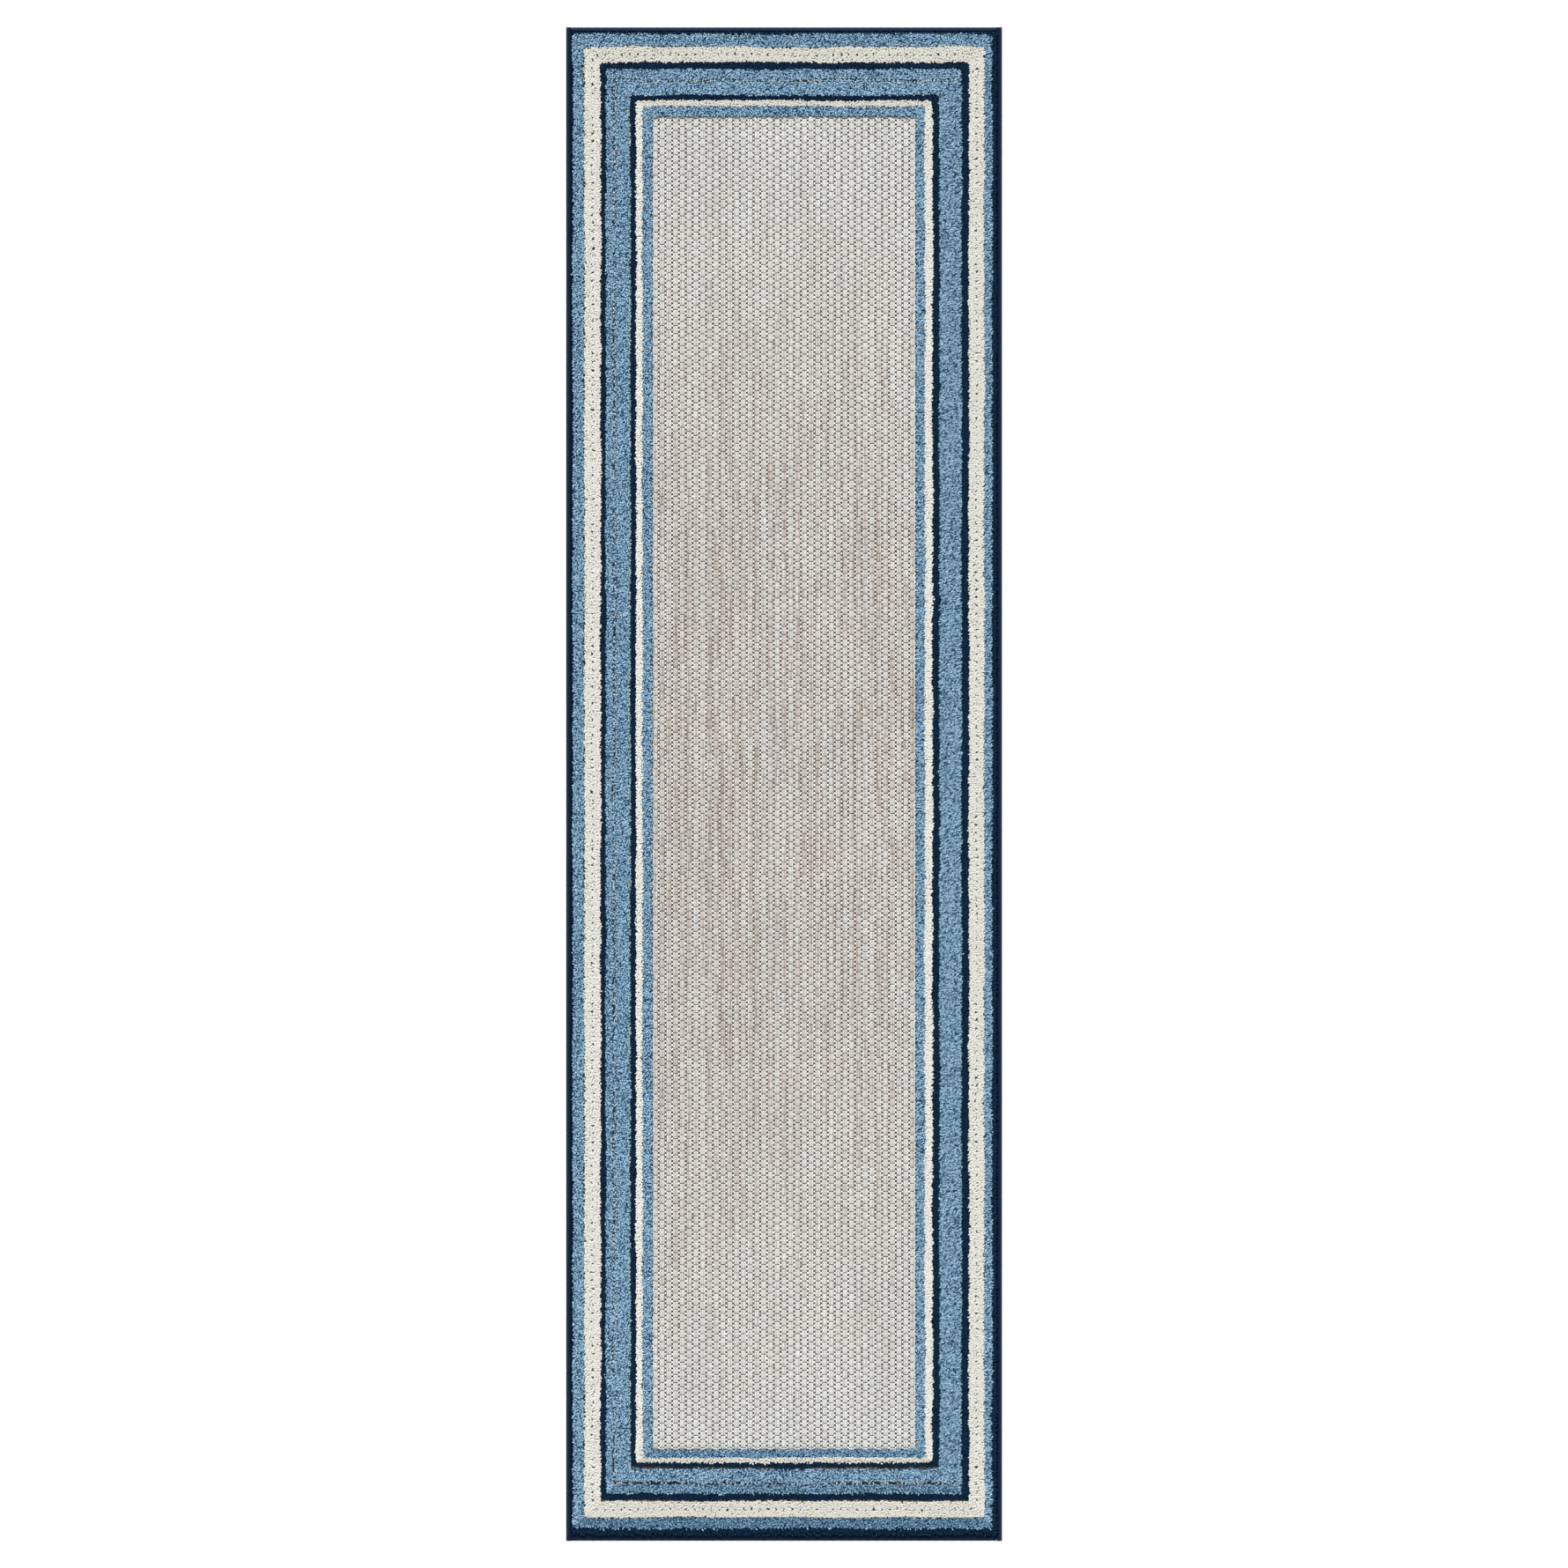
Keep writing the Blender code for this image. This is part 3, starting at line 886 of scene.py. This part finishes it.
def make_wrap(name, outline, wall, places, rise, turn, shift, finish, **more):
    """Draws a folded strip along its edge. rise gives how proud its outside stands at a place along."""
    middle, out = outline
    count = len(middle)
    rings = []
    for place in places:
        outside = middle + out * (wall / 2 + rise(place))[:, None]
        inside = (middle - out * wall / 2)[::-1]
        ring = np.concatenate([outside, inside])
        rings.append(points_at(ring[:, 0], place, ring[:, 1]))
    points = np.concatenate(rings)
    size = 2 * count
    sides = tube_faces(size, len(places))
    half = np.arange(count - 1)
    cap = np.stack([half, size - 1 - half, size - 2 - half, half + 1], -1)
    far = cap[:, ::-1] + size * (len(places) - 1)
    cos, sin = math.cos(turn), math.sin(turn)
    turned = points_at(
        shift[0] + points[:, 0] * cos - points[:, 1] * sin,
        shift[1] + points[:, 0] * sin + points[:, 1] * cos,
        points[:, 2],
    )
    on_nose = middle[:, 0] < middle[:, 1].max()
    # Painted highlight along the crest; the faces that turn from the top get painted shade
    painted_crest_highlight = np.clip(1 - (1 - out @ CREST_WAY) / CREST_SPREAD, 0, 1) * on_nose
    unseen = np.zeros(count)
    more["crest_highlight"] = np.tile(np.concatenate([painted_crest_highlight, unseen]), len(places))
    more["upper"] = np.tile(np.concatenate([np.clip(out[:, 1], 0, 1), unseen]), len(places))
    return make_mesh(name, turned, [np.concatenate([sides, cap, far])], finish, **more)


edge = Finish("overcast_yarn", Roughness=0.8, Specular_IOR_Level=0.05)
edge_fibre = edge.noise(1600.0, 2.0, (0.3, 1.0, 1.0))
edge_yarn = edge.blend(edge_fibre, (0.002, 0.006, 0.018, 1.0), (0.007, 0.022, 0.050, 1.0))
# Painted shade where the roll turns away from the top, and a painted highlight on its crest
edge_painted_shade = edge.blend(edge.carried("upper"), (0.0003, 0.0015, 0.005, 1.0), edge_yarn)
edge.colour(edge.blend(edge.carried("crest_highlight"), edge_painted_shade, (0.022, 0.040, 0.070, 1.0)))
edge.relief(edge.noise(2400.0, 2.0, (0.3, 1.0, 1.0)), 0.0002)
for word, sign in (("left", -1), ("right", 1)):
    low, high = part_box(f"serging_{word}")
    lip_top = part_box("navy_pile_edge")[0].z + WRAP_WALL
    outline = wrap_outline(high.x - low.x, high.z, lip_top, WRAP_WALL, WRAP_STEPS)
    turns = int((high.y - low.y) / TURN_PITCH)
    places = np.linspace(low.y, high.y, turns * TURN_STEPS + 1)
    slant = np.linspace(0, TURN_SLANT, len(outline[0]))

    def turn_rise(place):
        return TURN_DEPTH * (rib(place + slant, TURN_PITCH) - 1)

    piece = make_wrap(
        f"serged_edge_{word}",
        outline,
        WRAP_WALL,
        places,
        turn_rise,
        math.pi if sign > 0 else 0.0,
        (sign * max(abs(low.x), abs(high.x)), 0.0),
        edge,
        replaced=[f"serging_{word}"],
        slot="edge_yarn",
    )


# Filler cords
# A soft three-ply cord lies inside each serged side and gives it its round nose. Its cut ends just show.

CORD_PLIES = 3
CORD_TWIST = 0.012
CORD_SIDES = 12
CORD_STEP = 0.004
CORD_GROOVE = 0.14

cord = Finish("filler_cord", Roughness=0.85)
cord.colour(cord.blend(cord.noise(1200.0, 2.0), (0.42, 0.38, 0.31, 1.0), (0.74, 0.70, 0.62, 1.0)))
cord.relief(cord.noise(2200.0, 2.0), 0.0003)
for word in ("left", "right"):
    low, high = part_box(f"filler_cord_{word}")
    places = np.arange(low.y, high.y, CORD_STEP)
    turns = 2 * math.pi * np.arange(CORD_SIDES) / CORD_SIDES
    centre_x, centre_z = (low.x + high.x) / 2, (low.z + high.z) / 2
    radius = (high.z - low.z) / 2
    phase = turns[None, :] + 2 * math.pi * places[:, None] / CORD_TWIST
    reach = radius * (1 - CORD_GROOVE + CORD_GROOVE * np.cos(CORD_PLIES * phase))
    points = points_at(
        centre_x + reach * np.cos(turns),
        places[:, None],
        centre_z + reach * np.sin(turns),
    )
    sides = tube_faces(CORD_SIDES, len(places))[:, [0, 3, 2, 1]]
    first = np.arange(CORD_SIDES)[None, :]
    last = first[:, ::-1] + CORD_SIDES * (len(places) - 1)
    piece = make_mesh(
        f"filler_cord_{word}_twisted",
        points,
        [sides, first, last],
        cord,
        replaced=[f"filler_cord_{word}"],
        slot="filler_cord",
    )


# Bound ends
# Navy tape, woven with fine lengthwise cords, is folded round the cut end of the cloth and sewn through.
# The sewing thread shows as a row of short stitches near the tape's inner edge.

TAPE_CORD_PITCH = 0.0011
TAPE_CORD_DEPTH = 0.00012
TAPE_STEP = 0.004
TAPE_PUCKER = 0.00008
TAPE_PUCKER_PITCH = 0.013
STITCH_PITCH = 0.0034
STITCH_SHARE = 0.78
STITCH_HALF_WIDTH = 0.0004
STITCH_HEIGHT = 0.0006
STITCH_SINK = 0.0004

tape = Finish("binding_tape", Roughness=0.8, Specular_IOR_Level=0.05)
tape_streak = tape.noise(700.0, 3.0, (0.02, 1.0, 1.0))
tape_yarn = tape.blend(tape_streak, (0.002, 0.006, 0.018, 1.0), (0.008, 0.024, 0.054, 1.0))
# Painted shade on the tape's faces that turn from the top
tape_painted_shade = tape.blend(tape.carried("upper"), (0.0005, 0.002, 0.007, 1.0), tape_yarn)
# Only the tape at the top end, the end towards the lamp, gets a painted highlight on its crest
tape_crest_highlight = tape.carried("crest_highlight") * tape.maths("GREATER_THAN", tape.along("Y"), 0.0)
tape.colour(tape.blend(tape_crest_highlight, tape_painted_shade, (0.026, 0.058, 0.110, 1.0)))
tape.relief(tape.noise(2000.0, 2.0, (1.0, 0.3, 1.0)), 0.0002)
thread = Finish("sewing_thread", Roughness=0.5, Specular_IOR_Level=0.2)
thread.colour(thread.blend(thread.noise(1500.0), (0.010, 0.020, 0.045, 1.0), (0.030, 0.055, 0.100, 1.0)))
for word, sign in (("top", 1), ("bottom", -1)):
    low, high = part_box(f"binding_tape_{word}")
    outline = wrap_outline(high.y - low.y, high.z, high.z, WRAP_WALL, 2 * WRAP_STEPS)
    places = np.arange(low.x, high.x + TAPE_STEP / 2, TAPE_STEP)
    around = np.concatenate([[0], np.cumsum(np.linalg.norm(np.diff(outline[0], axis=0), axis=1))])
    cords = TAPE_CORD_DEPTH * (rib(around, TAPE_CORD_PITCH) - 1)
    end = high.y if sign > 0 else low.y

    def tape_rise(place):
        return cords + TAPE_PUCKER * (math.sin(2 * math.pi * place / TAPE_PUCKER_PITCH) - 1)

    piece = make_wrap(
        f"bound_end_{word}",
        outline,
        WRAP_WALL,
        places,
        tape_rise,
        -sign * math.pi / 2,
        (0.0, end),
        tape,
        replaced=[f"binding_tape_{word}"],
        slot="binding_tape",
    )

    low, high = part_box(f"sewing_thread_{word}")
    shape = float_shape()
    model = shape[0]
    x = np.arange(low.x + STITCH_PITCH / 2, high.x, STITCH_PITCH)
    points = points_at(
        x[:, None] + STITCH_PITCH * STITCH_SHARE / 2 * model[:, 1],
        (low.y + high.y) / 2 - STITCH_HALF_WIDTH * model[:, 0],
        low.z - STITCH_SINK + STITCH_HEIGHT * model[:, 2],
    )
    piece = make_mesh(
        f"stitches_{word}",
        points,
        repeat_shape(shape, len(x)),
        thread,
        replaced=[f"sewing_thread_{word}"],
        slot="sewing_thread",
    )


# The rug as cloth
# The ground cloth is cut to its full size and laid flat on the floor. The pile and the field are woven into
# it, and the back coat and the bound edges are fixed to it and go with it.

low, high = cad_box
